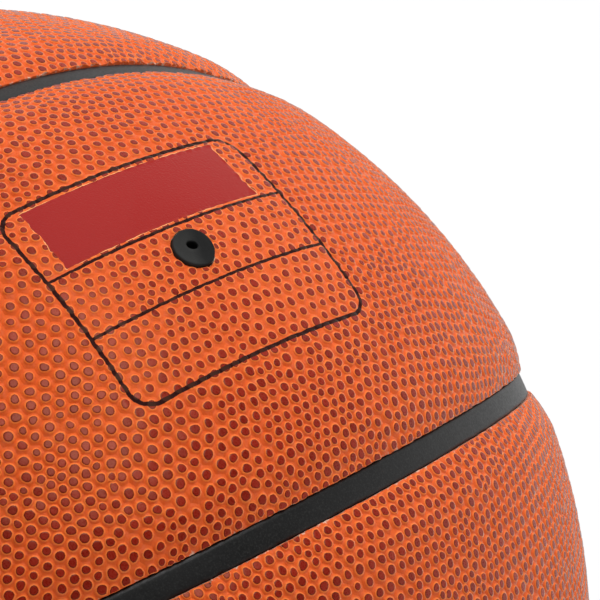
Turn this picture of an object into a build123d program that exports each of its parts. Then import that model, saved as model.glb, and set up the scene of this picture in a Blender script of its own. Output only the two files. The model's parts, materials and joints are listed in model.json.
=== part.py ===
from build123d import *
import os
from collections import namedtuple
from math import atan2, cos, degrees, radians, sin, sqrt

# A size 7 basketball: a bladder with its valve, a thread winding, a carcass, and a cover of eight
# pillowed panels on foam backings, set between rubber seam strips. Lengths are in millimetres and
# angles in degrees. The origin is the ball's centre, +Z passes through the valve, and +Y through a
# crossing of the two straight seams.

# Cover
ball_diameter = 242.0  # over the crowns of the panels
seam_depth = 1.85  # from the crowns down to the strips
seam_width = 4.6  # between the edges of facing panels
shoulder_width = 7.7  # how far in from its edge a panel starts to roll down
crown_overlap = 0.1  # a shoulder's arc ends this far above the crown, so they meet at an edge
edge_step = 0.25  # panel edges above the strips
cover_thickness = 1.3
strip_thickness = 0.65
strip_clearance = 0.12  # between a strip and the panel edges, and where strips butt
backing_inset = 2.5  # from a panel's edge to the edge of its foam backing
backing_edge = 0.3  # thickness of a backing at its edge
glue_line = 0.1  # between bonded layers

# Layers under the cover
carcass_thickness = 1.2
winding_thickness = 0.6
bladder_thickness = 0.8

# Seam layout: a ring, a second great circle across it, and an oval loop round each end
long_panel_angle = 45.0  # width of a long panel at its middle, from the great circle to the loop
loop_end_angle = 60.0  # from a loop's centre to where it crosses the ring
loop_flat_radius = 84.0  # angular radius of a loop's two flatter arcs

# Valve
head_diameter = 7.8
head_height = 1.5
head_proud = 0.5  # rim of the plug's head above the crown
head_clearance = 0.2  # round the head and the boot's neck
rim_width = 0.7
rim_round = 0.35
dish_depth = 0.4
stem_diameter = 5.0
stem_length = 16.5
stem_clearance = 0.05
tip_chamfer = 0.8
needle_hole_diameter = 2.0
needle_hole_depth = 12.0
slit_width = 0.2
slit_length = 3.0
boot_diameter = 13.0
boot_floor = 1.8
boot_round = 2.5
air_hole_diameter = 2.4
flange_diameter = 34.0
flange_thickness = 1.2

# Radii of the layers, from the outside in
ball_radius = ball_diameter / 2
strip_radius = ball_radius - seam_depth
edge_radius = strip_radius + edge_step
bed_radius = strip_radius - strip_thickness
backing_radius = ball_radius - cover_thickness - glue_line
carcass_radius = bed_radius - glue_line
winding_radius = carcass_radius - carcass_thickness - glue_line
bladder_radius = winding_radius - winding_thickness - glue_line
air_radius = bladder_radius - bladder_thickness
valve_hole_radius = head_diameter / 2 + head_clearance

# The seams lie in a frame turned about Y, so that the valve is mid-way across a long panel
valve_tilt = long_panel_angle / 2
seam_frame = Plane(
    origin=(0, 0, 0),
    x_dir=(cos(radians(valve_tilt)), 0, sin(radians(valve_tilt))),
    z_dir=(-sin(radians(valve_tilt)), 0, cos(radians(valve_tilt))),
)

os.makedirs("parts", exist_ok=True)


def write(builder, name):
    """Labels a finished piece and writes it to its own file."""
    builder.part.label = name
    export_step(builder.part, f"parts/{name}.step")


# Seam runs
# A run is a stretch of seam that keeps one angle, its radius, from a pole. Its sketch plane has
# the pole along x and its first point towards y, and the run is revolved about the pole.
Run = namedtuple("Run", "plane axis radius sweep")


def seam_run(pole, middle, radius, half_sweep):
    axis = Axis((0, 0, 0), seam_frame.from_local_coords(Vector(*pole)))
    first = seam_frame.from_local_coords(Vector(*middle)).rotate(axis, -half_sweep)
    plane = Plane(origin=(0, 0, 0), x_dir=axis.direction, z_dir=axis.direction.cross(first))
    return Run(plane, axis, radius, 2 * half_sweep)


# A loop is an oval of two flatter arcs and two end arcs, which meet without a corner where the
# great circle through their poles crosses them. Poles are given by their angle from the loop's
# centre: the flatter arcs' poles are beyond it, and the end arcs' poles lie on the ring.
flat_pole = radians(90 - long_panel_angle - loop_flat_radius)
lead = radians(loop_flat_radius - loop_end_angle)
end_pole = atan2(cos(lead) - cos(flat_pole), sin(lead))
loop_end_radius = loop_end_angle - degrees(end_pole)
flat_half_sweep = degrees(atan2(sin(end_pole), -cos(end_pole) * sin(flat_pole)))
end_half_sweep = degrees(atan2(-sin(flat_pole), cos(flat_pole) * sin(end_pole)))


def loop_runs(side):
    """The four runs of the loop round the right (1) or left (-1) end."""
    flats = [
        seam_run(
            (side * cos(flat_pole), 0, level * sin(flat_pole)),
            (-side * sin(flat_pole), 0, level * cos(flat_pole)),
            loop_flat_radius,
            flat_half_sweep,
        )
        for level in (1, -1)
    ]
    ends = [
        seam_run(
            (side * cos(end_pole), level * sin(end_pole), 0),
            (-side * sin(end_pole), level * cos(end_pole), 0),
            loop_end_radius,
            end_half_sweep,
        )
        for level in (1, -1)
    ]
    return flats + ends


ring_seam = [seam_run((0, 0, 1), (1, 0, 0), 90, 180)]
cross_seam = [seam_run((1, 0, 0), (0, 1, 0), 90, 180)]


def across(run, radius, out):
    """A point of a seam's section: at a radius from the ball's centre, and out from the middle."""
    up = sqrt(radius**2 - out**2)
    turn = radians(run.radius)
    return up * cos(turn) - out * sin(turn), up * sin(turn) + out * cos(turn)


def arc_across(run, radius, half):
    """An arc of a seam's section, round the ball's centre and half to each side of the middle."""
    ThreePointArc(across(run, radius, -half), across(run, radius, 0), across(run, radius, half))


def strip(seam, half, inner, outer):
    """A flat strip along a seam, between two radii."""
    with BuildPart() as band:
        for run in seam:
            with BuildSketch(run.plane):
                with BuildLine():
                    arc_across(run, inner, half)
                    arc_across(run, outer, half)
                    for out in (half, -half):
                        Line(across(run, inner, out), across(run, outer, out))
                make_face()
            revolve(axis=run.axis, revolution_arc=run.sweep)
    return band.part


def channel(seam, gap, edge, shoulder, crown):
    """What a seam takes out of a layer: the gap between two square edges, and the round shoulders
    that fall to them from the layer's crown. The gap goes down past the panels' bed."""
    top = crown + crown_overlap
    fall = top - edge
    reach = gap + shoulder / (1 - sqrt(crown_overlap / fall))
    bend = (gap + reach) / 2
    with BuildPart() as cut:
        for run in seam:
            with BuildSketch(run.plane):
                with BuildLine():
                    arc_across(run, carcass_radius, gap)
                    arc_across(run, top, reach)
                    for side in (1, -1):
                        shoulder_foot = across(run, edge, side * gap)
                        Line(across(run, carcass_radius, side * gap), shoulder_foot)
                        ThreePointArc(
                            shoulder_foot,
                            across(run, top - fall / 4, side * bend),
                            across(run, top, side * reach),
                        )
                make_face()
            revolve(axis=run.axis, revolution_arc=run.sweep)
    return cut.part


def two_panels(side, level, inner, crown, gap, edge, shoulder):
    """A quarter of a layer, from the ring to the great circle across it. The seams part it into a
    long panel and an oval one, and the valve's hole goes through it if it lies there."""
    half_plane = Plane(
        origin=(0, 0, 0),
        x_dir=seam_frame.y_dir,
        z_dir=seam_frame.y_dir.cross(side * seam_frame.x_dir),
    )
    with BuildPart() as quarter:
        with BuildSketch(half_plane):
            Circle(crown)
            Circle(inner, mode=Mode.SUBTRACT)
            split(bisect_by=Plane.XZ, keep=Keep.BOTTOM)
        revolve(axis=Axis((0, 0, 0), seam_frame.y_dir), revolution_arc=-90 * side * level)
        for seam in (ring_seam, cross_seam, loop_runs(side)):
            add(channel(seam, gap, edge, shoulder, crown), mode=Mode.SUBTRACT)
        with Locations((0, 0, crown)):
            Cylinder(valve_hole_radius, 4 * (crown - inner), mode=Mode.SUBTRACT)
    return quarter.part


def named(solid, kind, where):
    """A long panel's middle is nearer to the seam frame's Z axis, and an oval one's to its X axis."""
    middle = seam_frame.to_local_coords(solid.center())
    shape = "long" if abs(middle.Z) > abs(middle.X) else "oval"
    return f"{shape}_{kind}_{where}"


# Cover panels, each hollowed for the foam backing under it
panel_gap = seam_width / 2
backing_gap = panel_gap + backing_inset
backing_shoulder = shoulder_width - backing_inset
backing_foot = bed_radius + backing_edge
sides = {"right": 1, "left": -1}
levels = {"upper": 1, "lower": -1}
for level_name, level in levels.items():
    for side_name, side in sides.items():
        where = f"{level_name}_{side_name}"
        backings = two_panels(
            side, level, bed_radius, backing_radius, backing_gap, backing_foot, backing_shoulder
        )
        pockets = two_panels(
            side,
            level,
            carcass_radius,
            backing_radius + glue_line,
            backing_gap - glue_line,
            backing_foot + glue_line,
            backing_shoulder,
        )
        covers = two_panels(
            side, level, bed_radius, ball_radius, panel_gap, edge_radius, shoulder_width
        )
        for solid in backings.solids():
            with BuildPart() as backing:
                add(solid)
            write(backing, named(solid, "backing", where))
        for solid in covers.solids():
            with BuildPart() as panel:
                add(solid)
                add(pockets, mode=Mode.SUBTRACT)
            write(panel, named(solid, "panel", where))

# Seam strips: a whole ring, and halves of the other seams that butt against it
strip_half = panel_gap - strip_clearance
with BuildPart() as ring_strip:
    add(strip(ring_seam, strip_half, bed_radius, strip_radius))
write(ring_strip, "seam_strip_ring")
butted_seams = {"cross": cross_seam, "right_loop": loop_runs(1), "left_loop": loop_runs(-1)}
for seam_name, seam in butted_seams.items():
    for level_name, level in levels.items():
        with BuildPart() as half_strip:
            add(strip(seam, strip_half, bed_radius, strip_radius))
            split(
                bisect_by=seam_frame.offset(level * panel_gap),
                keep=Keep.TOP if level == 1 else Keep.BOTTOM,
            )
        write(half_strip, f"seam_strip_{seam_name}_{level_name}")


# Carcass, winding and bladder
def hollow_ball(outer, thickness):
    """A closed shell with the valve's hole."""
    with BuildPart() as shell:
        Sphere(outer)
        Sphere(outer - thickness, mode=Mode.SUBTRACT)
        with Locations((0, 0, outer)):
            Cylinder(valve_hole_radius, 4 * thickness, mode=Mode.SUBTRACT)
    return shell


write(hollow_ball(carcass_radius, carcass_thickness), "carcass")
write(hollow_ball(winding_radius, winding_thickness), "thread_winding")
write(hollow_ball(bladder_radius, bladder_thickness), "bladder")

# Heights along the valve's axis
rim_height = ball_radius + head_proud
head_foot = rim_height - head_height
stem_foot = head_foot - stem_length
mouth_height = rim_height - dish_depth
needle_foot = mouth_height - needle_hole_depth
neck_top = head_foot - glue_line
socket_foot = stem_foot - glue_line
boot_foot = socket_foot - boot_floor

# Valve boot: a neck through the layers, a flange bonded inside the bladder and a socket below
flange_top = air_radius - glue_line
flange_foot = flange_top - flange_thickness
neck_radius = valve_hole_radius - glue_line
socket_radius = stem_diameter / 2 + stem_clearance
boot_radius = boot_diameter / 2
flange_radius = flange_diameter / 2


def on_sphere(radius, out):
    """The point of a circle round the origin that lies out from the valve's axis."""
    return out, sqrt(radius**2 - out**2)


with BuildPart() as valve_boot:
    with BuildSketch(Plane.XZ):
        with BuildLine():
            neck_foot = on_sphere(flange_top, neck_radius)
            flange_tip = on_sphere(flange_top, flange_radius)
            flange_under = on_sphere(flange_foot, flange_radius)
            body_top = on_sphere(flange_foot, boot_radius)
            Polyline((socket_radius, neck_top), (neck_radius, neck_top), neck_foot)
            RadiusArc(neck_foot, flange_tip, flange_top)
            Line(flange_tip, flange_under)
            RadiusArc(flange_under, body_top, -flange_foot)
            Polyline(
                body_top,
                (boot_radius, boot_foot),
                (air_hole_diameter / 2, boot_foot),
                (air_hole_diameter / 2, socket_foot),
                (socket_radius, socket_foot),
                (socket_radius, neck_top),
            )
        make_face()
    revolve(axis=Axis.Z)
    foot_rings = valve_boot.edges().filter_by(GeomType.CIRCLE).group_by(Axis.Z)[0]
    fillet(foot_rings.sort_by(SortBy.RADIUS)[-1], boot_round)
write(valve_boot, "valve_boot")

# Valve plug: a dished head, and a stem with the needle's hole and a closed slit below it
head_radius = head_diameter / 2
needle_radius = needle_hole_diameter / 2
with BuildPart() as valve_plug:
    with BuildSketch(Plane.XZ):
        with BuildLine():
            Polyline(
                (0, needle_foot),
                (needle_radius, needle_foot),
                (needle_radius, mouth_height),
                (head_radius - rim_width, rim_height),
                (head_radius, rim_height),
                (head_radius, head_foot),
                (stem_diameter / 2, head_foot),
                (stem_diameter / 2, stem_foot),
                (0, stem_foot),
                close=True,
            )
        make_face()
    revolve(axis=Axis.Z)
    rings = valve_plug.edges().filter_by(GeomType.CIRCLE)
    fillet(rings.group_by(Axis.Z)[-1].sort_by(SortBy.RADIUS)[-1], rim_round)
    chamfer(rings.group_by(Axis.Z)[0], tip_chamfer)
    with Locations((0, 0, stem_foot)):
        Box(slit_width, slit_length, 2 * (needle_foot - stem_foot), mode=Mode.SUBTRACT)
write(valve_plug, "valve_plug")
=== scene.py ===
import json
import math

import bpy
import numpy as np
from mathutils import Matrix, Vector
from mathutils.geometry import delaunay_2d_cdt
from mathutils.kdtree import KDTree


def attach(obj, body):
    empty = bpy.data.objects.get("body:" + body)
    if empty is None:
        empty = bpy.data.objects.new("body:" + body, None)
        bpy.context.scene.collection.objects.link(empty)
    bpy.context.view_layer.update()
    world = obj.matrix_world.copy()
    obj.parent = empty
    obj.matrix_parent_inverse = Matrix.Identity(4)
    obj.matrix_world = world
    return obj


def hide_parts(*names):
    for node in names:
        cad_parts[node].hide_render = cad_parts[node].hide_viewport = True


# A basketball seen from above the printed frame round its valve. The cover's panels are built here
# pebble by pebble, and the seam strips and the plug as soft rubber; the layers inside are the solids
# with materials. Lengths are in millimetres until a mesh is written.

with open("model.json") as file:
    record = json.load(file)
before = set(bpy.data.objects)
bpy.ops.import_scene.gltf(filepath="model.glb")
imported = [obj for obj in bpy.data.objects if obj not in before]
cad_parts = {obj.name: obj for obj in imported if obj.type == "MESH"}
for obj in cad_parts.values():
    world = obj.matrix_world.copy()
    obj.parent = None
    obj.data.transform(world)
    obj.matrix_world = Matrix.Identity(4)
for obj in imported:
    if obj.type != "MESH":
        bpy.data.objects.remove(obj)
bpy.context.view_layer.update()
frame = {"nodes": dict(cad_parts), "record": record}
scene = bpy.context.scene
MM = 0.001

# Seam layout, as in the solids
BALL_R = 121.0  # crowns of the panels
EDGE_R = 119.4  # panel edges
BED_R = 118.5  # underside of the panels
STRIP_R = 119.15  # tops of the seam strips
HALF_GAP = 2.3  # from a seam's middle to a panel's edge
SHOULDER = 7.7  # how far in from its edge a panel starts to roll down
CROWN_OVERLAP = 0.1  # a shoulder's arc ends this far above the crown
LONG_ANGLE = math.radians(45.0)  # a long panel's width at its middle
LOOP_END = math.radians(60.0)  # from a loop's centre to where it crosses the ring
FLAT_R = math.radians(84.0)  # from a loop's flatter arcs to their poles
TILT = LONG_ANGLE / 2  # the valve is mid-way across a long panel
FLAT_POLE = math.pi / 2 - LONG_ANGLE - FLAT_R
LEAD = FLAT_R - LOOP_END
END_POLE = math.atan2(math.cos(LEAD) - math.cos(FLAT_POLE), math.sin(LEAD))
END_R = LOOP_END - END_POLE
END_HALF = math.atan2(-math.sin(FLAT_POLE), math.cos(FLAT_POLE) * math.sin(END_POLE))
FALL = BALL_R + CROWN_OVERLAP - EDGE_R
REACH = SHOULDER / (1 - math.sqrt(CROWN_OVERLAP / FALL))
SEAM_TO_PART = np.array(
    [
        [math.cos(TILT), 0, -math.sin(TILT)],
        [0, 1, 0],
        [math.sin(TILT), 0, math.cos(TILT)],
    ]
)

# Where the pebbles stand
PITCH = 2.44
JITTER = 0.31  # as a share of the pitch
SWAY, SWAY_WAVES = 0.3, np.array([[17.0, -11.0], [9.0, 21.0]])  # slow bends in the rows
ROWS_ALONG, ROWS_ACROSS = 1.7, 0.8  # how far the rows reach, in radians
ROWS_BEYOND, FIXED_BEYOND = 4 * PITCH, 3 * PITCH  # past the seams; the outermost stay put
EVENING_ROUNDS, EVENING = 2, 0.5
STRAY = 0.7  # a pebble no further than this past an edge is drawn back inside it
NEAR_EDGE = 0.3  # a pebble's middle comes no nearer to a panel's edge
CROWDED = 0.62  # a pebble drawn back keeps this share of the pitch from others
BAND = 1.9 * PITCH  # how far in from an edge it shapes the cells
FRAY = (0.2, 0.04)  # how far back a cut edge wanders, at the seams and at the valve

# A pebble's profile: distances from its middle, the skin's height there, and the attribute rise,
# which the materials read: 1 on the top, 0 in the creases, and less at a seam
TOP_R, RIM_R, SHOULDER_R, FOOT_R = 0.575, 0.725, 0.89, 1.04
PROFILE_OUT = (0.0, TOP_R, RIM_R, SHOULDER_R, FOOT_R, 1.36)
PROFILE_UP = (0.29, 0.28, 0.235, 0.195, 0.02, -0.18)
PROFILE_RISE = (1.0, 0.9, 0.8, 0.65, 0.3, 0.0)
SEAM_RISE = -0.5
RINGS = ((FOOT_R, 0.93), (SHOULDER_R, 0.84), (RIM_R, 0.72), (TOP_R, 0.58))  # with the most of a cell

# How pebbles differ
SIZE_FROM_ROOM, SIZE_SPREAD, SIZE_LIMITS = 0.6, 0.085, (0.66, 1.18)
SMALLER = ((-24.0, -8.0, 24.0, 36.0), (1.02, 0.91, 0.91, 1.0))  # across the printed panel
STRETCH, THREE_LOBED = 0.11, 0.6
HEIGHT_SPREAD, HEIGHT_LIMITS = 0.08, (0.75, 1.25)
LEAN = 0.02  # slope of the tops

# Underside of a panel, and its chart for baking: its two halves one above the other, then the cut
# edge and the underside in narrow rows
UNDER_PITCH, UNDER_JITTER, UNDER_INSET = 7.0, 0.1, 3.0
RIM_ROUNDS = 4
CHART_WIDE, CHART_HIGH, CHART_STEP = 1.8, 0.46, 1.03
WALL_ROW, UNDER_ROW = (0.96, 0.95), (0.965, 0.03)

# Print round the valve: a frame with two bars across it and a plain smooth patch
FRAME_MIDDLE, FRAME_HALF, FRAME_CORNER = (-0.7, -0.25), (20.1, 26.2), 4.0
BARS = (5.0, -6.9)
FRAME_LINE, BAR_LINE = 0.36, 0.28  # half as wide as the lines are
PATCH_MIDDLE, PATCH_HALF = (12.1, 0.3), (6.4, 21.3)
PATCH_FADE = 0.8  # over this width the pebbles sink into the patch
FRAME_HEIGHT, FRAME_FADE = 0.72, 2.0  # they are lower within the frame
LINE_HEIGHT, LINE_FADE, LINE_CLEAR = 0.5, 0.9, 0.4  # and under the lines
BURIED = 0.1  # a pebble that keeps less than this has no dark top

# Outline of the plug's head, which isn't quite round: waves round it, and a corner
PLUG_R, PLUG_TURN, PLUG_WAVES = 3.77, math.radians(22), (-0.28, -0.15, -0.05)
CORNER_OUT, CORNER_TURN, CORNER_POWER = 0.2, math.radians(188), 14
PLUG_GAP = 0.16  # between the plug's head and the cover


def unit(v):
    return v / np.linalg.norm(v, axis=-1, keepdims=True)


# Panel edges. Each is a circle on the ball: for each direction, a pole, an angle from it, and
# whether the panel lies within the circle (1) or outside it (-1).
def straight_edge(x, y, z):
    pole = np.array([x, y, z], float)

    def edge(n):
        angle = np.full(len(n), math.pi / 2 - HALF_GAP / EDGE_R)
        return np.broadcast_to(pole, n.shape), angle, 1

    return edge


def loop_edge(side, within):
    def edge(n):
        sign = np.where(n < 0, -1.0, 1.0)
        sign[:, 0] = side
        q = n * sign
        towards = q @ np.array([-math.sin(END_POLE), math.cos(END_POLE), 0])
        at_end = np.abs(np.arctan2(q[:, 2], towards)) <= END_HALF
        end = np.array([math.cos(END_POLE), math.sin(END_POLE), 0])
        flat = np.array([math.cos(FLAT_POLE), 0, math.sin(FLAT_POLE)])
        pole = np.where(at_end[:, None], end, flat) * sign
        angle = np.where(at_end, END_R, FLAT_R) - within * HALF_GAP / EDGE_R
        return pole, angle, within

    return edge


def plug_outline(turn):
    """Radius of the plug's head at an angle from the x axis."""
    corner = CORNER_OUT * np.maximum(np.cos(turn - CORNER_TURN), 0) ** CORNER_POWER
    radius = PLUG_R
    for count, out in enumerate(PLUG_WAVES, 1):
        radius = radius + out * np.cos(count * (turn - PLUG_TURN))
    return radius + corner


def hole_edge(n):
    pole = SEAM_TO_PART.T @ np.array([0, 0, 1.0])
    in_part = n @ SEAM_TO_PART.T
    hole = plug_outline(np.arctan2(in_part[:, 1], in_part[:, 0])) + PLUG_GAP
    return np.broadcast_to(pole, n.shape), hole / BALL_R, -1


def inset(n, edge):
    """How far inside an edge each direction lies, in mm."""
    pole, angle, within = edge(n)
    along = np.einsum("ij,ij->i", n, pole)
    theta = np.arctan2(np.linalg.norm(np.cross(n, pole), axis=1), along)
    return within * (angle - theta) * EDGE_R


def depth(n, edges):
    """How far inside the nearest of some edges each direction lies."""
    return np.min([inset(n, e) for e in edges], axis=0)


def carried(n, edge, mirrored, back=0.0):
    """The directions moved onto an edge, or as far inside it as back says, or mirrored in it."""
    pole, angle, within = edge(n)
    angle = angle - within * back / EDGE_R
    along = np.einsum("ij,ij->i", n, pole)
    out = unit(n - along[:, None] * pole)
    theta = np.arctan2(np.linalg.norm(np.cross(n, pole), axis=1), along)
    new = 2 * angle - theta if mirrored else angle
    return np.cos(new)[:, None] * pole + np.sin(new)[:, None] * out


def crown(n, seams):
    """Radius of the smooth panel: its crown, rolling down to its seams."""
    radius = np.full(len(n), BALL_R)
    for edge in seams:
        t = np.clip(inset(n, edge) / REACH, 0, 1)
        radius = np.minimum(radius, BALL_R + CROWN_OVERLAP - FALL * (1 - t) ** 2)
    return radius


def flatness(n):
    """How much of their height pebbles keep: less under the printed lines, none under the patch."""
    in_part = n @ SEAM_TO_PART.T
    spot = in_part[:, :2] * BALL_R
    in_patch = (np.abs(spot - PATCH_MIDDLE) - PATCH_HALF).max(1)
    in_frame = (np.abs(spot - FRAME_MIDDLE) - FRAME_HALF).max(1)
    off_bars = np.abs(spot[:, :1] - BARS).min(1) + (in_frame > 0) * PITCH
    off_line = np.minimum(np.abs(in_frame), off_bars)
    keep = np.clip(in_patch / PATCH_FADE + 0.5, 0, 1)
    in_or_out = np.clip(in_frame / FRAME_FADE + 0.5, 0, 1)
    soft = FRAME_HEIGHT + (1 - FRAME_HEIGHT) * in_or_out
    under_line = LINE_HEIGHT + (1 - LINE_HEIGHT) * np.clip(off_line / LINE_FADE - LINE_CLEAR, 0, 1)
    return np.where(in_part[:, 2] > 0, keep * soft * under_line, 1.0)


# Meshing
def triangulated(flat, edges=()):
    """Delaunay triangles over flat points, anticlockwise, as rows of their indices."""
    points = [Vector(p) for p in flat.tolist()]
    _, _, faces, source, _, _ = delaunay_2d_cdt(points, list(edges), [], 0, 1e-9)
    first = np.array([s[0] if s else -1 for s in source])
    tri = first[np.array(faces)]
    tri = tri[(tri >= 0).all(1)]
    a, b, c = (flat[tri[:, i]] for i in range(3))
    turn = (b[:, 0] - a[:, 0]) * (c[:, 1] - a[:, 1]) - (b[:, 1] - a[:, 1]) * (c[:, 0] - a[:, 0])
    tri[turn < 0] = tri[turn < 0][:, ::-1]
    return tri


def enclosed(tri, rim, first_inner):
    """The triangles on a rim's inner side: those with an inner point, and any that join them."""
    sides = np.sort(np.stack([tri, np.roll(tri, -1, axis=1)], -1), -1).reshape(-1, 2)
    _, at = np.unique(np.concatenate([sides, np.sort(rim, -1)]), axis=0, return_inverse=True)
    at = at.ravel()
    on_rim = np.zeros(at.max() + 1, bool)
    on_rim[at[len(sides) :]] = True
    side = at[: len(sides)].reshape(-1, 3)
    keep = (tri >= first_inner).any(1)
    while True:
        reached = np.zeros(len(on_rim), bool)
        reached[side[keep]] = True
        wider = keep | (reached & ~on_rim)[side].any(1)
        if (wider == keep).all():
            return tri[keep]
        keep = wider


def mesh_object(name, points, faces):
    """A mesh object from rows of points and blocks of faces, each block with one corner count."""
    mesh = bpy.data.meshes.new(name)
    mesh.vertices.add(len(points))
    mesh.vertices.foreach_set("co", points.astype(np.float32).ravel())
    corners = np.concatenate([f.ravel() for f in faces]).astype(np.int32)
    counts = np.concatenate([np.full(len(f), f.shape[1], np.int32) for f in faces])
    mesh.loops.add(len(corners))
    mesh.loops.foreach_set("vertex_index", corners)
    mesh.polygons.add(len(counts))
    starts = np.concatenate([[0], np.cumsum(counts)[:-1]]).astype(np.int32)
    mesh.polygons.foreach_set("loop_start", starts)
    mesh.update(calc_edges=True)
    obj = bpy.data.objects.new(name, mesh)
    scene.collection.objects.link(obj)
    return obj


# Pebbled panels
class Chart:
    """Flat coordinates over a panel: angles along and across it, and a stereographic map."""

    def __init__(self, side, level, angle):
        self.centre = np.array([side * math.cos(angle), 0, level * math.sin(angle)])
        self.along = np.array([0.0, 1.0, 0.0])
        self.across = np.cross(self.centre, self.along)

    def flat(self, n):
        return np.stack([n @ self.along, n @ self.across], 1) / (1 + n @ self.centre)[:, None]

    def angles(self, n):
        return np.arctan2(n @ self.along, n @ self.centre), np.arcsin(n @ self.across)

    def direction(self, along, across):
        round_it = np.outer(np.cos(along), self.centre) + np.outer(np.sin(along), self.along)
        return np.cos(across)[:, None] * round_it + np.outer(np.sin(across), self.across)

    def lattice(self, pitch, jitter, rng):
        """Staggered rows of directions on a conformal map, each moved by a random share of the pitch."""
        step = pitch / BALL_R
        most = int(ROWS_ALONG / step)
        rows = []
        for j in range(-int(ROWS_ACROSS / step), int(ROWS_ACROSS / step) + 1):
            along = (np.arange(-most, most + 1) + 0.5 * (j % 2)) * step
            rows.append(np.stack([along, np.full(len(along), j * step * math.sqrt(3) / 2)], 1))
        spot = np.concatenate(rows)
        wave = rng.uniform(0, 2 * math.pi, 2)
        bend = np.sin(spot @ SWAY_WAVES + wave)
        spot = spot + rng.uniform(-jitter, jitter, spot.shape) * step + SWAY * step * bend
        return self.direction(spot[:, 0], np.arctan(np.sinh(spot[:, 1])))


def evened(spots, chart, fixed):
    """Spots moved towards the middle of their neighbours, apart from the fixed ones."""
    tri = triangulated(chart.flat(spots))
    total = np.zeros(spots.shape)
    weight = np.zeros(len(spots))
    for k in range(3):
        for other in (tri[:, (k + 1) % 3], tri[:, (k + 2) % 3]):
            np.add.at(total, tri[:, k], spots[other])
            np.add.at(weight, tri[:, k], 1)
    moved = unit(spots * (1 - EVENING) + EVENING * total / np.maximum(weight, 1)[:, None])
    return np.where(fixed[:, None], spots, moved)


def uncrowded(spots, shifted):
    """Which spots to keep: all but shifted ones that came too close to another that is kept."""
    tree = KDTree(len(spots))
    for i, spot in enumerate(spots):
        tree.insert(spot, i)
    tree.balance()
    keep = np.ones(len(spots), bool)
    for i in np.nonzero(shifted)[0]:
        found = tree.find_range(spots[i], CROWDED * PITCH / BALL_R)
        keep[i] = not any(keep[j] for _, j, _ in found if j != i)
    return keep


def pebble_centres(seams, edges, chart, rng):
    """Uneven rows over a panel, with the pebbles nearest its edges drawn inside them."""
    spots = chart.lattice(PITCH, JITTER, rng)
    spots = spots[depth(spots, seams) > -ROWS_BEYOND]
    fixed = depth(spots, seams) < -FIXED_BEYOND
    for _ in range(EVENING_ROUNDS):
        spots = evened(spots, chart, fixed)
    spots = spots[depth(spots, edges) > -STRAY]
    shifted = np.zeros(len(spots), bool)
    for edge in edges:
        close = inset(spots, edge) < NEAR_EDGE
        spots[close] = carried(spots[close], edge, False, NEAR_EDGE)
        shifted |= close
    return spots[uncrowded(spots, shifted)]


class Cells:
    """A panel's pebble centres, and the cell round each, which its edges cut off.

    The centres near an edge are mirrored in it, so that cells end there. Triangles join the centres:
    a cell has a point at the middle of each of their sides and one at the hub of each of them.
    """

    def __init__(self, centres, edges, chart, rng):
        near = [inset(centres, e) < BAND for e in edges]
        points = [centres]
        ghosts = []
        for i, edge in enumerate(edges):
            mirrored = carried(centres[near[i]], edge, True)
            points.append(mirrored)
            ghosts.append(np.tile([i == j for j in range(len(edges))], (len(mirrored), 1)))
            for j in range(i):
                both = near[i] & near[j]
                twice = carried(carried(centres[both], edge, True), edges[j], True)
                points.append(twice)
                ghosts.append(np.tile([k in (i, j) for k in range(len(edges))], (len(twice), 1)))
        self.count = len(centres)
        self.points = np.concatenate(points)
        ghost = np.concatenate([np.zeros((self.count, len(edges)), bool)] + ghosts)
        tri = triangulated(chart.flat(self.points))
        self.tri = tri[(tri < self.count).any(1)]
        nexts = np.roll(self.tri, -1, axis=1)
        ends = np.sort(np.stack([self.tri, nexts], -1), -1).reshape(-1, 2)
        key, back = np.unique(ends[:, 0] * len(self.points) + ends[:, 1], return_inverse=True)
        self.side = back.reshape(-1, 3)
        self.ends = np.stack([key // len(self.points), key % len(self.points)], 1)
        self.mid = unit(self.points[self.ends].sum(1))
        self.hub = unit(self.points[self.tri].sum(1))
        inner_ends = (self.ends < self.count).sum(1)
        self.mid_edge = ghost[self.ends].any(1) & (inner_ends == 1)[:, None]
        self.hub_edge = ghost[self.tri].any(1)
        mid_back = rng.uniform(0, 1, len(self.mid))
        hub_back = rng.uniform(0, 1, len(self.hub))
        for _ in range(2):
            for i, edge in enumerate(edges):
                m, h = self.mid_edge[:, i], self.hub_edge[:, i]
                fray = FRAY[edge is hole_edge]
                self.mid[m] = carried(self.mid[m], edge, False, mid_back[m] * fray)
                self.hub[h] = carried(self.hub[h], edge, False, hub_back[h] * fray)


class Corners:
    """The triangles' corners at a panel's own pebbles. Each lies between a first and a last side, and
    has a spoke from its pebble to the middle of either, which the next corner round shares."""

    def __init__(self, cells):
        self.hub, k = np.nonzero(cells.tri < cells.count)
        self.owner = cells.tri[self.hub, k]
        self.first, self.last = cells.side[self.hub, k], cells.side[self.hub, (k + 2) % 3]
        keys = [side * 2 + (cells.ends[side, 0] != self.owner) for side in (self.first, self.last)]
        spoke, at = np.unique(np.concatenate(keys), return_inverse=True)
        self.first_spoke, self.last_spoke = np.split(at, 2)
        self.spoke_mid = spoke // 2
        self.spoke_owner = cells.ends[self.spoke_mid, spoke % 2]
        self.used, at = np.unique(np.concatenate([self.first, self.last]), return_inverse=True)
        self.first_mid, self.last_mid = np.split(at, 2)


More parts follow.
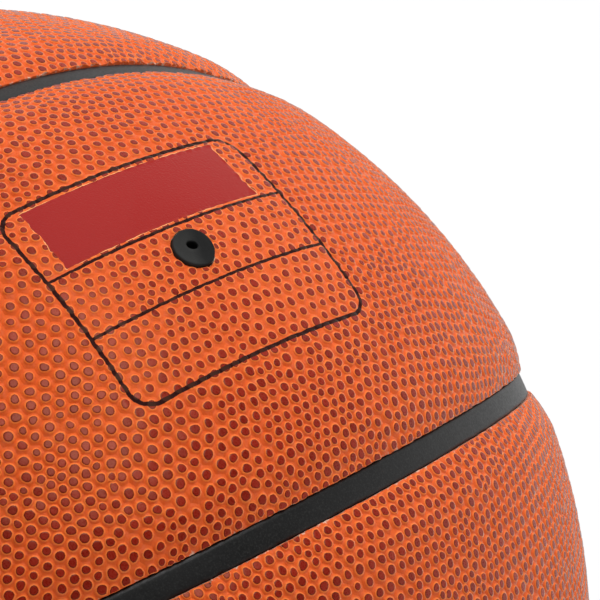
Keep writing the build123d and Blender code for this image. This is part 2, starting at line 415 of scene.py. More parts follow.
class Pebbles:
    """The form of each of a panel's pebbles. Points on the skin come as directions, heights, rises and
    tones."""

    def __init__(self, cells, corners, chart, printed, rng):
        count = cells.count
        self.centre = cells.points[:count]
        self.across = chart.across
        owner = corners.spoke_owner
        inside = ~cells.mid_edge[corners.spoke_mid].any(1)
        room = np.linalg.norm(cells.mid[corners.spoke_mid] - cells.points[owner], axis=1) * inside
        room = np.bincount(owner, room) / np.maximum(np.bincount(owner, inside), 1)
        size = (room / np.median(room)) ** SIZE_FROM_ROOM * rng.normal(1.0, SIZE_SPREAD, count)
        self.size = size.clip(*SIZE_LIMITS)
        if printed:
            self.size *= np.interp((self.centre @ SEAM_TO_PART.T)[:, 0] * BALL_R, *SMALLER)
        self.stretch = rng.uniform(0, STRETCH, count)
        self.turn = rng.uniform(0, math.pi, count)
        self.height = rng.normal(1.0, HEIGHT_SPREAD, count).clip(*HEIGHT_LIMITS)
        self.tone = rng.uniform(0, 1, count)
        self.lean = rng.rayleigh(LEAN, count)
        self.lean_to = rng.uniform(0, 2 * math.pi, count)

    def reaching(self, owner, target):
        """How wide a pebble is towards a target, how far off that is, and at what angle."""
        c = self.centre[owner]
        out = target - c
        t1 = unit(np.cross(self.across, c))
        x, y = np.einsum("ij,ij->i", out, t1), np.einsum("ij,ij->i", out, np.cross(c, t1))
        round_it = np.arctan2(y, x)
        lobe = np.cos(2 * (round_it - self.turn[owner]))
        lobe = lobe + THREE_LOBED * np.cos(3 * (round_it - self.lean_to[owner]))
        far = np.linalg.norm(out, axis=1) * BALL_R
        return self.size[owner] * (1 + self.stretch[owner] * lobe), far, round_it

    def ring(self, owner, target, radius, most):
        """Points round the pebbles at a radius, or at most a share of the way to their targets."""
        wide, far, round_it = self.reaching(owner, target)
        out = np.minimum(radius * wide, most * far)
        c = self.centre[owner]
        place = unit(c + (target - c) * (out / far)[:, None])
        up = np.interp(out / wide, PROFILE_OUT, PROFILE_UP)
        slope = self.lean[owner] * np.cos(round_it - self.lean_to[owner]) * out
        up = np.where(up > 0, up * self.height[owner] + slope, up)
        return place, up, np.interp(out / wide, PROFILE_OUT, PROFILE_RISE), self.tone[owner]

    def creases(self, places, pairs):
        """Points between pebbles, as high as the nearest pebble reaches there."""
        nearest = np.full(len(places), PROFILE_OUT[-1])
        for at, owner in pairs:
            wide, far, _ = self.reaching(owner, places[at])
            np.minimum.at(nearest, at, far / wide)
        up = np.interp(nearest, PROFILE_OUT, PROFILE_UP)
        return places, up, np.interp(nearest, PROFILE_OUT, PROFILE_RISE), np.full(len(places), 0.5)

    def tips(self):
        return self.centre, PROFILE_UP[0] * self.height, np.ones(len(self.centre)), self.tone


class Skin:
    """A panel's outer side: points in the creases, rings up each pebble, and the tips. Each ring has a
    block of points on the spokes and one towards the hubs."""

    def __init__(self, cells, corners, pebbles, seams):
        owner, hub = corners.owner, corners.hub
        beside = [(corners.first_mid, owner), (corners.last_mid, owner)]
        parts = [
            pebbles.creases(cells.mid[corners.used], beside),
            pebbles.creases(cells.hub, [(hub, owner)]),
        ]
        for radius, most in RINGS:
            parts.append(pebbles.ring(corners.spoke_owner, cells.mid[corners.spoke_mid], radius, most))
            parts.append(pebbles.ring(owner, cells.hub[hub], radius, most))
        parts.append(pebbles.tips())
        self.start = np.cumsum([0] + [len(p[0]) for p in parts])
        whole = (np.concatenate([p[i] for p in parts]) for i in range(4))
        self.direction, lift, self.rise, self.tone = whole
        at_edge = np.concatenate([cells.mid_edge[corners.used], cells.hub_edge])
        self.rise[: self.start[2]][at_edge[:, : len(seams)].any(1)] = SEAM_RISE
        lift *= flatness(self.direction)
        self.points = self.direction * (crown(self.direction, seams) + lift)[:, None]

        # Quads from each ring up to the next, triangles over the tops, and the outer edge
        low = (corners.first_mid, self.start[1] + hub, corners.last_mid)
        rim_1 = np.stack(low[:2], 1)[cells.mid_edge[corners.first].any(1)]
        rim_2 = np.stack(low[1:], 1)[cells.mid_edge[corners.last].any(1)]
        self.rim = np.concatenate([rim_1, rim_2])
        quads = []
        for at in self.ring_starts():
            spokes, to_hubs = self.start[at : at + 2]
            high = (spokes + corners.first_spoke, to_hubs + np.arange(len(hub)), spokes + corners.last_spoke)
            quads.append(np.stack([high[0], low[0], low[1], high[1]], 1))
            quads.append(np.stack([high[1], low[1], low[2], high[2]], 1))
            low = high
        self.quads = np.concatenate(quads)
        self.tip = self.start[-2] + owner
        caps = [np.stack([self.tip, low[i], low[i + 1]], 1) for i in range(2)]
        self.caps = np.concatenate(caps)

    def ring_starts(self):
        return range(2, 2 + 2 * len(RINGS), 2)

    def on_sharp_rings(self, pairs):
        """Which edges lie along the creases, the foot or the top of a pebble."""
        foot, *_, top = self.ring_starts()
        rings = [(self.start[at], self.start[at + 2]) for at in (0, foot, top)]
        return np.any([((pairs >= low) & (pairs < high)).all(1) for low, high in rings], axis=0)


def underside(skin, chart, edges, rng):
    """The directions of a panel's plain underside, within a smoothed rim, its walls and triangles."""
    rim_at, low = np.unique(skin.rim, return_inverse=True)
    low = low.reshape(-1, 2)
    spread = chart.lattice(UNDER_PITCH, UNDER_JITTER, rng)
    spread = spread[depth(spread, edges) > UNDER_INSET]
    before, after = low[np.argsort(low[:, 1]), 0], low[np.argsort(low[:, 0]), 1]
    foot = skin.direction[rim_at]
    for _ in range(RIM_ROUNDS):
        foot = unit(foot[before] + 2 * foot + foot[after])
    under = np.concatenate([foot, spread])
    tri = triangulated(chart.flat(under), low.tolist())
    tri = enclosed(tri, low, len(rim_at))[:, ::-1] + len(skin.points)
    low = low + len(skin.points)
    walls = np.stack([skin.rim[:, 1], skin.rim[:, 0], low[:, 0], low[:, 1]], 1)
    return under, walls, tri


def add_bake_chart(mesh, chart, skin, under, walls, under_tri):
    along, across = chart.angles(np.concatenate([skin.direction, under]))
    length = along.max() - along.min()
    across = (across - across.min()) / (across.max() - across.min())
    far_half = along[skin.tip] > 0

    def charted(faces):
        half = np.tile(far_half, len(faces) // len(far_half))
        u, v = along[faces], across[faces]
        for which in (False, True):
            u[half == which] -= u[half == which].min()
        return np.stack([u / length * CHART_WIDE, (v + half[:, None] * CHART_STEP) * CHART_HIGH], -1)

    wall_u = (np.arange(len(walls))[:, None] + np.array([1, 0, 0, 1])) / len(walls)
    wall_v = np.broadcast_to(np.repeat(WALL_ROW, 2), wall_u.shape)
    under_u = (along[under_tri] - along.min()) / length
    places = [
        charted(skin.quads),
        np.stack([wall_u, wall_v], -1),
        charted(skin.caps),
        np.stack([under_u, UNDER_ROW[0] + UNDER_ROW[1] * across[under_tri]], -1),
    ]
    baked = mesh.uv_layers.new(name="OFBake")
    baked.data.foreach_set("uv", np.concatenate([p.ravel() for p in places]).astype(np.float32))


def pebbled_panel(name, side, level, is_long, seed, printed):
    """A cover panel as one closed mesh: pebbles on its skin, a cut edge and a plain underside."""
    rng = np.random.default_rng(seed)
    seams = [straight_edge(0, 0, level), loop_edge(side, -1 if is_long else 1)]
    if is_long:
        seams.append(straight_edge(side, 0, 0))
    edges = seams + ([hole_edge] if printed else [])
    chart = Chart(side, level, LONG_ANGLE / 2 + (LONG_ANGLE if is_long else 0))
    cells = Cells(pebble_centres(seams, edges, chart, rng), edges, chart, rng)
    corners = Corners(cells)
    pebbles = Pebbles(cells, corners, chart, printed, rng)
    skin = Skin(cells, corners, pebbles, seams)
    under, walls, under_tri = underside(skin, chart, edges, rng)
    points = np.concatenate([skin.points, under * BED_R]) @ SEAM_TO_PART.T
    obj = mesh_object(name, points * MM, [skin.quads, walls, skin.caps, under_tri])
    mesh = obj.data

    # Shading and the attributes that the materials read
    smooth = np.ones(len(mesh.polygons), bool)
    smooth[len(skin.quads) : len(skin.quads) + len(walls)] = False
    mesh.polygons.foreach_set("use_smooth", smooth)
    pairs = np.zeros(len(mesh.edges) * 2, np.int32)
    mesh.edges.foreach_get("vertices", pairs)
    sharp = mesh.attributes.new("sharp_edge", "BOOLEAN", "EDGE")
    sharp.data.foreach_set("value", skin.on_sharp_rings(pairs.reshape(-1, 2)))
    for key, values in (("tone", skin.tone), ("rise", skin.rise)):
        values = np.concatenate([values, np.zeros(len(points) - len(values))]).astype(np.float32)
        mesh.attributes.new(key, "FLOAT", "POINT").data.foreach_set("value", values)

    # The second material covers the tops and the slope round them, but not under the patch
    topped = np.tile(flatness(pebbles.centre)[corners.owner] > BURIED, 2)
    below = np.zeros(len(skin.quads) - len(topped), bool)
    wall, beneath = np.zeros(len(walls), bool), np.zeros(len(under_tri), bool)
    index = np.concatenate([below, topped, wall, topped, beneath])
    mesh.polygons.foreach_set("material_index", index.astype(np.int32))
    add_bake_chart(mesh, chart, skin, under, walls, under_tri)
    return obj


# Nodes for materials
def new_material(name):
    mat = bpy.data.materials.new(name)
    mat.use_nodes = True
    return mat, mat.node_tree.nodes["Principled BSDF"]


def node(mat, kind, **inputs):
    made = mat.node_tree.nodes.new(kind)
    for key, value in inputs.items():
        made.inputs[key.replace("_", " ")].default_value = value
    return made


def link(mat, out, into):
    mat.node_tree.links.new(out, into)


def fed(mat, socket, value):
    """Sets a socket to a number or colour, or links another node's output to it."""
    if isinstance(value, (int, float, tuple)):
        socket.default_value = value
    else:
        link(mat, value, socket)


def rgb(r, g, b):
    """A colour given as it looks on a screen, 0 to 255."""
    lin = [c / 255 / 12.92 if c <= 10 else ((c / 255 + 0.055) / 1.055) ** 2.4 for c in (r, g, b)]
    return (*lin, 1.0)


def maths(mat, operation, *values):
    made = mat.node_tree.nodes.new("ShaderNodeMath")
    made.operation = operation
    for socket, value in zip(made.inputs, values):
        fed(mat, socket, value)
    return made.outputs[0]


def mixed(mat, share, a, b):
    """A colour between two, each a colour or another node's."""
    made = mat.node_tree.nodes.new("ShaderNodeMix")
    made.data_type = "RGBA"
    for socket, value in zip((made.inputs[0], made.inputs[6], made.inputs[7]), (share, a, b)):
        fed(mat, socket, value)
    return made.outputs[2]


def ranged(mat, value, source, target):
    """A value carried from one range to another, and held at its ends."""
    made = node(mat, "ShaderNodeMapRange", From_Min=source[0], From_Max=source[1])
    made.inputs["To Min"].default_value, made.inputs["To Max"].default_value = target
    link(mat, value, made.inputs["Value"])
    return made.outputs[0]


def placed(mat):
    return node(mat, "ShaderNodeTexCoord").outputs["Object"]


def noise(mat, size, detail=2.0):
    """Noise over the piece, with features about that many millimetres across."""
    made = node(mat, "ShaderNodeTexNoise", Scale=1 / (size * MM), Detail=detail)
    link(mat, placed(mat), made.inputs["Vector"])
    return made.outputs[0]


def attribute(mat, name):
    made = mat.node_tree.nodes.new("ShaderNodeAttribute")
    made.attribute_name = name
    return made.outputs["Fac"]


def bumped(mat, shader, height, depth_mm, strength):
    made = node(mat, "ShaderNodeBump", Strength=strength, Distance=depth_mm * MM)
    link(mat, height, made.inputs["Height"])
    link(mat, made.outputs[0], shader.inputs["Normal"])


def preset(shader, values):
    for key, value in values.items():
        shader.inputs[key].default_value = value


# Cover material
TOP_DARK, TOP_PALE = rgb(128, 25, 12), rgb(150, 35, 20)
# Painted shade: the slope round each pebble's top darker than the top itself
TOP_SLOPE_SHADE = rgb(84, 9, 6)
TOP_SCUFF = rgb(176, 70, 46)
SKIN_DARK, SKIN_PALE = rgb(241, 116, 40), rgb(247, 122, 46)
# Painted glints: pale pink flecks where the grain would catch the light
SKIN_GLINT = rgb(240, 130, 78)
SKIN_GRAIN = rgb(206, 74, 18)
# Painted shade: deeper red down the pebbles' flanks and in the creases between them
CREASE_SHADE = rgb(207, 44, 6)
# Painted highlight: a pale ring round each pebble's shoulder
SHOULDER_HIGHLIGHT = rgb(232, 130, 70)
EDGE_PALE = rgb(228, 196, 172)
INK = rgb(44, 5, 2)
PATCH_RED, PATCH_PALE = rgb(157, 23, 17), rgb(248, 168, 108)
PATCH_ROUGH, INK_ROUGHER = 0.52, 0.25
TOP_GLOSS = {
    "Specular IOR Level": 0.34,
    "Specular Tint": (1.0, 0.64, 0.44, 1.0),
}
SKIN_GLOSS = {
    "Specular IOR Level": 0.2,
    "Sheen Weight": 0.8,
    "Sheen Tint": (0.6, 1.0, 0.9, 1.0),
    "Sheen Roughness": 0.3,
}


def print_masks(mat):
    """Where the printed lines and the patch lie, and a pale edge round the patch."""
    split = node(mat, "ShaderNodeSeparateXYZ")
    link(mat, placed(mat), split.inputs[0])
    x, y = (maths(mat, "MULTIPLY", split.outputs[i], 1 / MM) for i in range(2))
    stray = ranged(mat, noise(mat, 1.6), (0.3, 0.7), (-0.06, 0.06))

    def beyond(value, middle, half):
        gap = maths(mat, "ABSOLUTE", maths(mat, "SUBTRACT", value, middle))
        return maths(mat, "SUBTRACT", gap, half)

    def drawn(distance, half):
        off = maths(mat, "ABSOLUTE", maths(mat, "ADD", distance, stray))
        return maths(mat, "LESS_THAN", off, half)

    qx = beyond(x, FRAME_MIDDLE[0], FRAME_HALF[0] - FRAME_CORNER)
    qy = beyond(y, FRAME_MIDDLE[1], FRAME_HALF[1] - FRAME_CORNER)
    ox, oy = maths(mat, "MAXIMUM", qx, 0.0), maths(mat, "MAXIMUM", qy, 0.0)
    far = maths(mat, "SQRT", maths(mat, "MULTIPLY_ADD", ox, ox, maths(mat, "MULTIPLY", oy, oy)))
    near = maths(mat, "MINIMUM", maths(mat, "MAXIMUM", qx, qy), 0.0)
    out = maths(mat, "SUBTRACT", maths(mat, "ADD", far, near), FRAME_CORNER)
    bars = [drawn(maths(mat, "SUBTRACT", x, at), BAR_LINE) for at in BARS]
    bars = maths(mat, "MULTIPLY", maths(mat, "MAXIMUM", *bars), maths(mat, "LESS_THAN", out, 0.0))
    lines = maths(mat, "MAXIMUM", bars, drawn(out, FRAME_LINE))

    px = beyond(x, PATCH_MIDDLE[0], PATCH_HALF[0])
    py = beyond(y, PATCH_MIDDLE[1], PATCH_HALF[1])
    ragged = ranged(mat, noise(mat, 2.2), (0.3, 0.7), (-0.3, 0.3))
    over = maths(mat, "MAXIMUM", px, maths(mat, "ADD", py, ragged))
    over = maths(mat, "ADD", over, stray)
    patch = maths(mat, "LESS_THAN", over, 0.0)
    broken = ranged(mat, noise(mat, 3.0), (0.45, 0.6), (0.0, 0.16))
    return lines, patch, maths(mat, "LESS_THAN", over, broken)


def top_colour(mat, grain, rise):
    colour = mixed(mat, attribute(mat, "tone"), TOP_DARK, TOP_PALE)
    # painted shade on the slope round each top
    colour = mixed(mat, ranged(mat, rise, (0.84, 0.91), (0.9, 0.0)), colour, TOP_SLOPE_SHADE)
    return mixed(mat, ranged(mat, grain, (0.55, 0.8), (0.0, 0.2)), colour, TOP_SCUFF)


def skin_colour(mat, grain, rise):
    cloud, glint = noise(mat, 30.0), noise(mat, 0.9, 3.0)
    colour = mixed(mat, ranged(mat, cloud, (0.35, 0.65), (0.0, 1.0)), SKIN_DARK, SKIN_PALE)
    # painted glints on the grain
    colour = mixed(mat, ranged(mat, glint, (0.5, 0.66), (0.0, 0.5)), colour, SKIN_GLINT)
    colour = mixed(mat, ranged(mat, grain, (0.3, 0.7), (0.0, 0.15)), colour, SKIN_GRAIN)
    # painted shade down the flanks and in the creases
    colour = mixed(mat, ranged(mat, rise, (0.3, 0.66), (0.42, 0.0)), colour, CREASE_SHADE)
    # painted highlight on the shoulders
    colour = mixed(mat, ranged(mat, rise, (0.6, 0.75), (0.0, 0.15)), colour, SHOULDER_HIGHLIGHT)
    at_seam = ranged(mat, rise, (-0.4, -0.1), (1.0, 0.0))
    specks = ranged(mat, noise(mat, 0.8), (0.54, 0.62), (0.0, 0.8))
    return mixed(mat, maths(mat, "MULTIPLY", at_seam, specks), colour, EDGE_PALE)


def cover_material(name, printed, topped):
    """Composite leather: its orange skin, or the dark tops of its pebbles."""
    mat, shader = new_material(name)
    grain = noise(mat, 0.35, 3.0)
    rise = attribute(mat, "rise")
    if topped:
        colour = top_colour(mat, grain, rise)
        rough = ranged(mat, grain, (0.3, 0.7), (0.24, 0.34))
        preset(shader, TOP_GLOSS)
        bumped(mat, shader, grain, 0.03, 0.5)
    else:
        colour = skin_colour(mat, grain, rise)
        rough = ranged(mat, grain, (0.3, 0.7), (0.48, 0.6))
        preset(shader, SKIN_GLOSS)
        bumped(mat, shader, grain, 0.11, 0.9)
    if printed:
        lines, patch, pale = print_masks(mat)
        colour = mixed(mat, pale, colour, PATCH_PALE)
        colour = mixed(mat, patch, colour, PATCH_RED)
        colour = mixed(mat, lines, colour, INK)
        bare = maths(mat, "MULTIPLY", rough, maths(mat, "SUBTRACT", 1.0, patch))
        rough = maths(mat, "MULTIPLY_ADD", patch, PATCH_ROUGH, bare)
        rough = maths(mat, "MULTIPLY_ADD", lines, INK_ROUGHER, rough)
    link(mat, colour, shader.inputs["Base Color"])
    link(mat, rough, shader.inputs["Roughness"])
    return mat


# Rubber, foam and thread
LIT_SIDE_WAY, LIT_SIDE_REACH = (0.38, 0.92, 0.0), (-1.4, 0.6)  # the plug's paler side: painted light on one side of its head
# Painted shade: the foam darker down in its pores
FOAM_DARK, FOAM_PALE, FOAM_PORE_SHADE = rgb(226, 214, 186), rgb(236, 228, 204), rgb(186, 168, 132)
# Painted light and shade: the strands paler on their crests, darker between the turns
THREAD_SHADED, THREAD_LIT = rgb(176, 168, 148), rgb(236, 232, 218)
THREAD_TURNS = ((0.4, 0.2, 0.1), (1.5, 0.6, 0.9), (2.4, 1.3, 2.1))  # three crossing windings


def rubber(name, colour, worn, roughness, grain_size, gloss, painted_lit_side=None, scuffs_and_glints=None):
    mat, shader = new_material(name)
    grain = noise(mat, grain_size, 4.0)
    cloud = noise(mat, 14.0)
    shade = mixed(mat, ranged(mat, cloud, (0.35, 0.65), (0.0, 1.0)), colour, worn)
    shade = mixed(mat, ranged(mat, grain, (0.55, 0.8), (0.0, 0.6)), shade, worn)
    # Painted light: one side paler, as if the head caught more light there
    if painted_lit_side:
        side = node(mat, "ShaderNodeVectorMath")
        side.operation = "DOT_PRODUCT"
        side.inputs[1].default_value = LIT_SIDE_WAY
        link(mat, placed(mat), side.inputs[0])
        uneven = ranged(mat, cloud, (0.3, 0.7), (-0.5, 0.5))
        side = maths(mat, "MULTIPLY_ADD", side.outputs["Value"], 1 / MM, uneven)
        shade = mixed(mat, ranged(mat, side, LIT_SIDE_REACH, (0.0, 1.0)), shade, painted_lit_side)
    # Pale specks, partly scuffs and partly painted glints
    if scuffs_and_glints:
        specks = ranged(mat, noise(mat, 0.3, 1.0), (0.52, 0.7), (0.0, 0.8))
        shade = mixed(mat, specks, shade, scuffs_and_glints)
    link(mat, shade, shader.inputs["Base Color"])
    rough = ranged(mat, grain, (0.3, 0.7), (roughness - 0.06, roughness + 0.08))
    link(mat, rough, shader.inputs["Roughness"])
    preset(shader, {"Specular IOR Level": gloss})
    bumped(mat, shader, grain, 0.06, 0.5)
    return mat


def foam_material():
    """Pale open foam, with small pores."""
    mat, shader = new_material("foam")
    pores = node(mat, "ShaderNodeTexVoronoi", Scale=1 / (0.9 * MM))
    link(mat, placed(mat), pores.inputs["Vector"])
    height = ranged(mat, pores.outputs["Distance"], (0.1, 0.5), (0.0, 1.0))
    colour = mixed(mat, noise(mat, 20.0), FOAM_DARK, FOAM_PALE)
    # painted shade in the pores
    colour = mixed(mat, ranged(mat, height, (0.0, 1.0), (0.5, 0.0)), colour, FOAM_PORE_SHADE)
    link(mat, colour, shader.inputs["Base Color"])
    preset(shader, {"Roughness": 0.9})
    bumped(mat, shader, height, 0.2, 0.6)
    return mat


def thread_material():
    """Nylon thread wound every way round the bladder, in fine turns."""
    mat, shader = new_material("thread")
    high = None
    for turn in THREAD_TURNS:
        spun = node(mat, "ShaderNodeMapping", Rotation=turn)
        link(mat, placed(mat), spun.inputs["Vector"])
        wave = node(mat, "ShaderNodeTexWave", Scale=1 / (3.0 * MM), Distortion=1.5, Detail=1.0)
        link(mat, spun.outputs[0], wave.inputs["Vector"])
        strand = wave.outputs["Fac"]
        high = strand if high is None else maths(mat, "MAXIMUM", high, strand)
    # painted light and shade across the turns
    shade = ranged(mat, high, (0.5, 1.0), (0.0, 1.0))
    link(mat, mixed(mat, shade, THREAD_SHADED, THREAD_LIT), shader.inputs["Base Color"])
    rough = ranged(mat, noise(mat, 1.0), (0.3, 0.7), (0.5, 0.7))
    link(mat, rough, shader.inputs["Roughness"])
    bumped(mat, shader, high, 0.2, 0.6)
    return mat


plain_cover = [cover_material("cover_skin", False, False), cover_material("cover_tops", False, True)]
printed_cover = [cover_material("printed_skin", True, False), cover_material("printed_tops", True, True)]
# The strips' pale specks are partly scuffs and partly painted glints
strip_mat = rubber("seam_rubber", rgb(8, 8, 8), rgb(18, 18, 18), 0.44, 0.45, 0.32, scuffs_and_glints=rgb(38, 38, 37))
# The plug's paler side is painted light
valve_mat = rubber("valve_rubber", rgb(20, 20, 20), rgb(28, 28, 28), 0.5, 0.4, 0.09, painted_lit_side=rgb(44, 44, 43))
slot_mats = {
    "cover": plain_cover[0],
    "foam": foam_material(),
    "seam_rubber": strip_mat,
    "carcass_rubber": rubber("carcass_rubber", rgb(34, 34, 36), rgb(52, 51, 50), 0.65, 0.8, 0.3),
    "thread": thread_material(),
    "bladder_rubber": rubber("bladder_rubber", rgb(26, 26, 26), rgb(40, 40, 42), 0.5, 1.2, 0.4),
    "valve_rubber": valve_mat,
}

# Cover
FIRST_SEED = 11
LEVELS = ((1, "upper"), (-1, "lower"))
HANDS = ((1, "right"), (-1, "left"))

panels = []
for is_long, kind in ((True, "long"), (False, "oval")):
    for level, high in LEVELS:
        for side, hand in HANDS:
            cad = f"{kind}_panel_{high}_{hand}"
            seed = FIRST_SEED + len(panels)
            printed = cad == "long_panel_upper_right"
            panel = pebbled_panel(f"cover_{kind}_{high}_{hand}", side, level, is_long, seed, printed)
            for mat in printed_cover if printed else plain_cover:
                panel.data.materials.append(mat)
            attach(panel, "ball")
            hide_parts(cad)
            panels.append(panel)

# Seam strips: half of a rounded section, as distances across and radii, swept along each seam. A seam
# is rows of a pole, the angle from it and the direction in which that angle opens.
STRIP_SECTION = ((-2.18, 118.52), (-2.18, 119.03), (-2.1, 119.11), (-1.5, 119.15), (-0.7, 119.16))
STRIP_STEP = 1.1
STRIP_UNEVEN = 0.012
STRIP_SEED = 5
STRIP_SHARP = math.radians(50)


def arc(pole, angle, across, up, first, last):
    count = max(2, round((last - first) * math.sin(angle) * STRIP_R / STRIP_STEP))
    turn = np.linspace(first, last, count + 1)
    out = np.outer(np.cos(turn), across) + np.outer(np.sin(turn), up)
    return [(np.array(pole), angle, d) for d in out]


def loop_seam(side, level):
    x, y, z = np.eye(3) * (side, 1, level)
    end_pole = math.cos(END_POLE) * x + math.sin(END_POLE) * y
    end_out = -math.sin(END_POLE) * x + math.cos(END_POLE) * y
    flat_pole = math.cos(FLAT_POLE) * x + math.sin(FLAT_POLE) * z
    flat_up = -math.sin(FLAT_POLE) * x + math.cos(FLAT_POLE) * z
    start = HALF_GAP / (STRIP_R * math.sin(END_R))
    first = arc(end_pole, END_R, end_out, z, start, END_HALF)
    joint = math.cos(END_R) * end_pole + math.sin(END_R) * first[-1][2]
    bend = math.atan2(joint @ flat_up, joint @ y)
    middle = arc(flat_pole, FLAT_R, y, flat_up, bend, math.pi - bend)
    mirror = np.array([1, -1, 1])
    return first + middle[1:-1] + [(p * mirror, angle, d * mirror) for p, angle, d in first[::-1]]


def cross_seam(level):
    start = HALF_GAP / STRIP_R
    return arc((1.0, 0, 0), math.pi / 2, (0, 1.0, 0), (0, 0, level), start, math.pi - start)


def smoothed(obj, sharp_from):
    obj.data.polygons.foreach_set("use_smooth", np.ones(len(obj.data.polygons), bool))
    obj.data.set_sharp_from_angle(angle=sharp_from)


def strip(name, seam, closed, rng):
    """A seam strip as a closed mesh, its top a little uneven."""
    section = np.array(STRIP_SECTION + tuple((-w, r) for w, r in STRIP_SECTION[::-1]))
    pole, angle, out = (np.array([s[i] for s in seam]) for i in range(3))
    if closed:
        pole, angle, out = pole[:-1], angle[:-1], out[:-1]
    theta = angle[:, None] + section[None, :, 0] / STRIP_R
    n = np.cos(theta)[..., None] * pole[:, None] + np.sin(theta)[..., None] * out[:, None]
    uneven = rng.normal(0, STRIP_UNEVEN, theta.shape)
    uneven[:, [0, -1]] = 0
    points = (n * (section[None, :, 1] + uneven)[..., None]).reshape(-1, 3)
    count, wide = theta.shape
    i = np.arange(count if closed else count - 1)[:, None]
    j = np.arange(wide)[None, :]
    after, beside = (i + 1) % count, (j + 1) % wide
    quads = np.stack([i * wide + j, i * wide + beside, after * wide + beside, after * wide + j], -1)
    quads = quads.reshape(-1, 4)
    blocks = [quads]
    if not closed:
        blocks.append(np.array([np.arange(wide)[::-1], np.arange(wide) + (count - 1) * wide]))

    # The outer half of the faces has to face outwards
    a, b, c, _ = (points[quads[:, k]] for k in range(4))
    facing = np.einsum("ij,ij->i", np.cross(b - a, c - a), a)
    outermost = np.argsort(-np.linalg.norm(a, axis=1))[: len(a) // 2]
    if facing[outermost].sum() < 0:
        blocks = [f[:, ::-1] for f in blocks]
    obj = mesh_object(name, points @ SEAM_TO_PART.T * MM, blocks)
    smoothed(obj, STRIP_SHARP)
    return obj


ring_seam = arc((0, 0, 1.0), math.pi / 2, (1.0, 0, 0), (0, 1.0, 0), 0, 2 * math.pi)
seams = {"ring": (ring_seam, True)}
for level, high in LEVELS:
    seams[f"cross_{high}"] = (cross_seam(level), False)
    for side, hand in HANDS:
        seams[f"{hand}_loop_{high}"] = (loop_seam(side, level), False)
rng = np.random.default_rng(STRIP_SEED)
for name, (seam, closed) in seams.items():
    piece = strip(f"strip_{name}", seam, closed, rng)
    piece.data.materials.append(strip_mat)
    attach(piece, "ball")
    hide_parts(f"seam_strip_{name}")

# Valve plug: a head with a needle hole, and a stem with a slit in its foot. Its rings have radii, or
# on the head shares of the way from the hole's lip to the outline, and heights.
PLUG_STEPS = 72
NEEDLE_R, LIP_R, STEM_R, TIP_R = 0.93, 1.08, 2.5, 1.7
STEM_FOOT, TIP_CHAMFER, NEEDLE_FOOT = 103.5, 0.8, 109.1
MOUTH_SHIFT, MOUTH_STRETCH, MOUTH_TURN = (0.33, -0.29), 0.12, math.radians(69.5)
PLUG_MOUTH = [(NEEDLE_R, 120.6), (NEEDLE_R, 121.08), (0.98, 121.18), (LIP_R, 121.23)]
PLUG_HEAD = [
    (0.2, 121.24),
    (0.45, 121.27),
    (0.7, 121.37),
    (0.85, 121.46),
    (0.92, 121.5),
    (0.96, 121.47),
    (0.985, 121.38),
    (1.0, 121.22),
    (1.0, 120.06),
    (0.97, 120.0),
]
PLUG_STEM = [(STEM_R, 120.0), (STEM_R, 112.0), (STEM_R, STEM_FOOT + TIP_CHAMFER), (TIP_R, STEM_FOOT)]
SLIT_HALF, SLIT_DEPTH = (0.1, 1.5), 3.0
PLUG_SHARP = math.radians(40)


def valve_plug(name):
    turn = np.arange(PLUG_STEPS) * 2 * math.pi / PLUG_STEPS
    edge = plug_outline(turn)
    mouth = 1 + MOUTH_STRETCH * np.cos(2 * (turn - MOUTH_TURN))
    rings = [(np.full(PLUG_STEPS, NEEDLE_R), NEEDLE_FOOT, 0.0)]
    rings += [(r * mouth, z, 1.0) for r, z in PLUG_MOUTH]
    for share, z in PLUG_HEAD:
        rings.append((LIP_R * mouth * (1 - share) + edge * share, z, 1 - share))
    rings += [(np.full(PLUG_STEPS, r), z, 0.0) for r, z in PLUG_STEM]
    points = []
    for radius, z, shift in rings:
        x = radius * np.cos(turn) + shift * MOUTH_SHIFT[0]
        y = radius * np.sin(turn) + shift * MOUTH_SHIFT[1]
        points.append(np.stack([x, y, np.full(PLUG_STEPS, z)], 1))
    count = len(points)
    ring = np.arange(count - 1)[:, None] * PLUG_STEPS
    j = np.arange(PLUG_STEPS)[None, :]
    k = (j + 1) % PLUG_STEPS
    after = ring + PLUG_STEPS
    quads = np.stack([ring + j, after + j, after + k, ring + k], -1).reshape(-1, 4)
    pit = np.arange(PLUG_STEPS)[None, :]

    # Foot with its slit
    foot = np.arange(PLUG_STEPS) + (count - 1) * PLUG_STEPS
    signs = np.array([(-1, -1), (1, -1), (1, 1), (-1, 1)])
    slit = signs * SLIT_HALF
    base = count * PLUG_STEPS
    points += [np.column_stack([slit, np.full(4, STEM_FOOT + up)]) for up in (0.0, SLIT_DEPTH)]
    points = np.concatenate(points)
    flat = np.concatenate([points[foot, :2], slit])
    sides = [(m, (m + 1) % 4) for m in range(4)]
    tri = triangulated(flat, [(PLUG_STEPS + m, PLUG_STEPS + n) for m, n in sides])
    middle = flat[tri].mean(1)
    tri = tri[(np.abs(middle) > np.array(SLIT_HALF)).any(1)][:, ::-1]
    under = np.where(tri < PLUG_STEPS, foot[np.minimum(tri, PLUG_STEPS - 1)], base + tri - PLUG_STEPS)
    walls = np.array([(base + m, base + n, base + 4 + n, base + 4 + m) for m, n in sides])
    roof = np.array([[base + 7, base + 6, base + 5, base + 4]])
    obj = mesh_object(name, points * MM, [quads, walls[:, ::-1], roof, under, pit])
    smoothed(obj, PLUG_SHARP)
    return obj


plug = valve_plug("plug_with_needle_hole")
plug.data.materials.append(valve_mat)
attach(plug, "plug")
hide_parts("valve_plug")

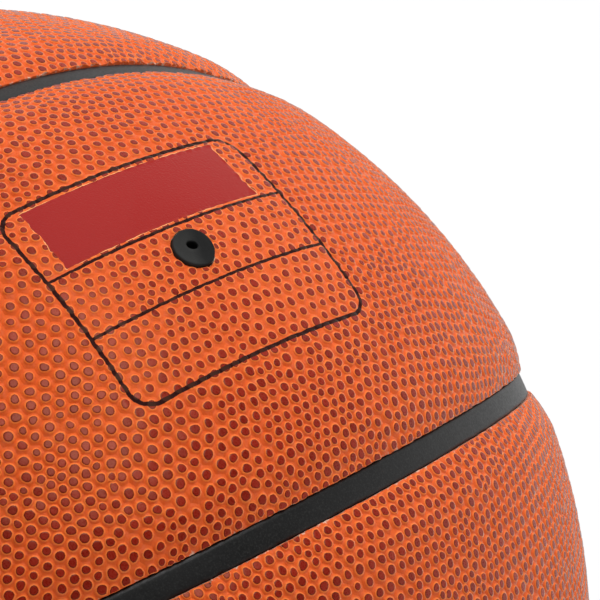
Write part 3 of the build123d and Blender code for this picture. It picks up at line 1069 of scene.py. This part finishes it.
# Solids: the layers inside, and those that the pieces above stand for
slots = {part["node"]: part["material_slot"] for part in frame["record"]["subparts"]}
for name, obj in frame["nodes"].items():
    obj.data.materials.clear()
    obj.data.materials.append(slot_mats[slots[name]])

# Floor, world and light, in metres
FLOOR_Z, FLOOR_SIZE = -0.1214, 4.0
FLOOR_COLOUR, FLOOR_ROUGH = (0.9, 0.9, 0.9, 1), 0.9
FLOOR_GLOW, GLOW_SHARE = 1.03, 0.9  # as the camera and reflections see it; the rest is its shadow
WORLD_WAY = (-0.05, 0.32, 1.0)  # the world darkens upwards, and more so behind the camera
WORLD_FROM, WORLD_TO = (0.3, 0.7), (1.0, 0.08)
KEY_WAY, KEY_LONG, KEY_SIDES, KEY_POWER = (0.14, -0.05, 0.99), (0.74, -0.66, 0.0), (0.62, 0.44), 4.6
SIDE_WAY, SIDE_LONG, SIDE_SIDES, SIDE_POWER = (0.62, -0.28, 0.73), (0.0, 1.0, 0.0), (0.4, 0.4), 4.0


def floor_material():
    mat, shader = new_material("floor")
    preset(shader, {"Base Color": FLOOR_COLOUR, "Roughness": FLOOR_ROUGH})
    glow = node(mat, "ShaderNodeEmission", Color=(1, 1, 1, 1), Strength=FLOOR_GLOW)
    mix = node(mat, "ShaderNodeMixShader")
    path = node(mat, "ShaderNodeLightPath")
    seen = maths(mat, "ADD", path.outputs["Is Camera Ray"], path.outputs["Is Glossy Ray"])
    seen = maths(mat, "ADD", seen, path.outputs["Is Transmission Ray"])
    seen = maths(mat, "MINIMUM", seen, 1.0)
    link(mat, maths(mat, "MULTIPLY", seen, GLOW_SHARE), mix.inputs[0])
    link(mat, shader.outputs[0], mix.inputs[1])
    link(mat, glow.outputs[0], mix.inputs[2])
    link(mat, mix.outputs[0], mat.node_tree.nodes["Material Output"].inputs[0])
    return mat


def studio_world():
    world = bpy.data.worlds.new("studio")
    world.use_nodes = True
    background = world.node_tree.nodes["Background"]
    background.inputs["Color"].default_value = (1, 1, 1, 1)
    height = node(world, "ShaderNodeVectorMath")
    height.operation = "DOT_PRODUCT"
    height.inputs[1].default_value = WORLD_WAY
    link(world, node(world, "ShaderNodeTexCoord").outputs["Generated"], height.inputs[0])
    strength = ranged(world, height.outputs["Value"], WORLD_FROM, WORLD_TO)
    link(world, strength, background.inputs["Strength"])
    return world


def softbox(name, direction, long_way, sides, power):
    """A lamp a metre from the middle of the ball, facing it, with its long side along long_way."""
    lamp = bpy.data.lights.new(name, "AREA")
    lamp.shape = "RECTANGLE"
    lamp.size, lamp.size_y = sides
    lamp.energy = power
    obj = bpy.data.objects.new(name, lamp)
    scene.collection.objects.link(obj)
    towards = Vector(direction).normalized()
    across = towards.cross(Vector(long_way)).normalized()
    turned = Matrix((across.cross(towards), across, towards)).transposed().to_4x4()
    obj.matrix_world = Matrix.Translation(towards) @ turned
    return obj


bpy.ops.mesh.primitive_plane_add(size=FLOOR_SIZE, location=(0, 0, FLOOR_Z))
floor = bpy.context.object
floor.name = "floor"
floor.data.materials.append(floor_material())
scene.world = studio_world()
softbox("key", KEY_WAY, KEY_LONG, KEY_SIDES, KEY_POWER)
side_lamp = softbox("side", SIDE_WAY, SIDE_LONG, SIDE_SIDES, SIDE_POWER)
side_lamp.visible_glossy = False

# Camera
CAMERA_AT = (-0.13735, 0.25816, 0.40211)
CAMERA_WAY, CAMERA_UP = (0.29716, -0.66055, -0.68948), (0.7343, -0.30347, 0.60721)
LENS, SENSOR = 150.0, 36.0
CLIP = (0.01, 20.0)

camera = bpy.data.objects.new("camera", bpy.data.cameras.new("camera"))
scene.collection.objects.link(camera)
camera.data.lens = LENS
camera.data.sensor_width = SENSOR
camera.data.clip_start, camera.data.clip_end = CLIP
forward = Vector(CAMERA_WAY).normalized()
up = Vector(CAMERA_UP)
up = (up - forward * up.dot(forward)).normalized()
turned = Matrix((forward.cross(up), up, -forward)).transposed().to_4x4()
camera.matrix_world = Matrix.Translation(CAMERA_AT) @ turned
scene.camera = camera
scene.view_settings.view_transform = "Standard"
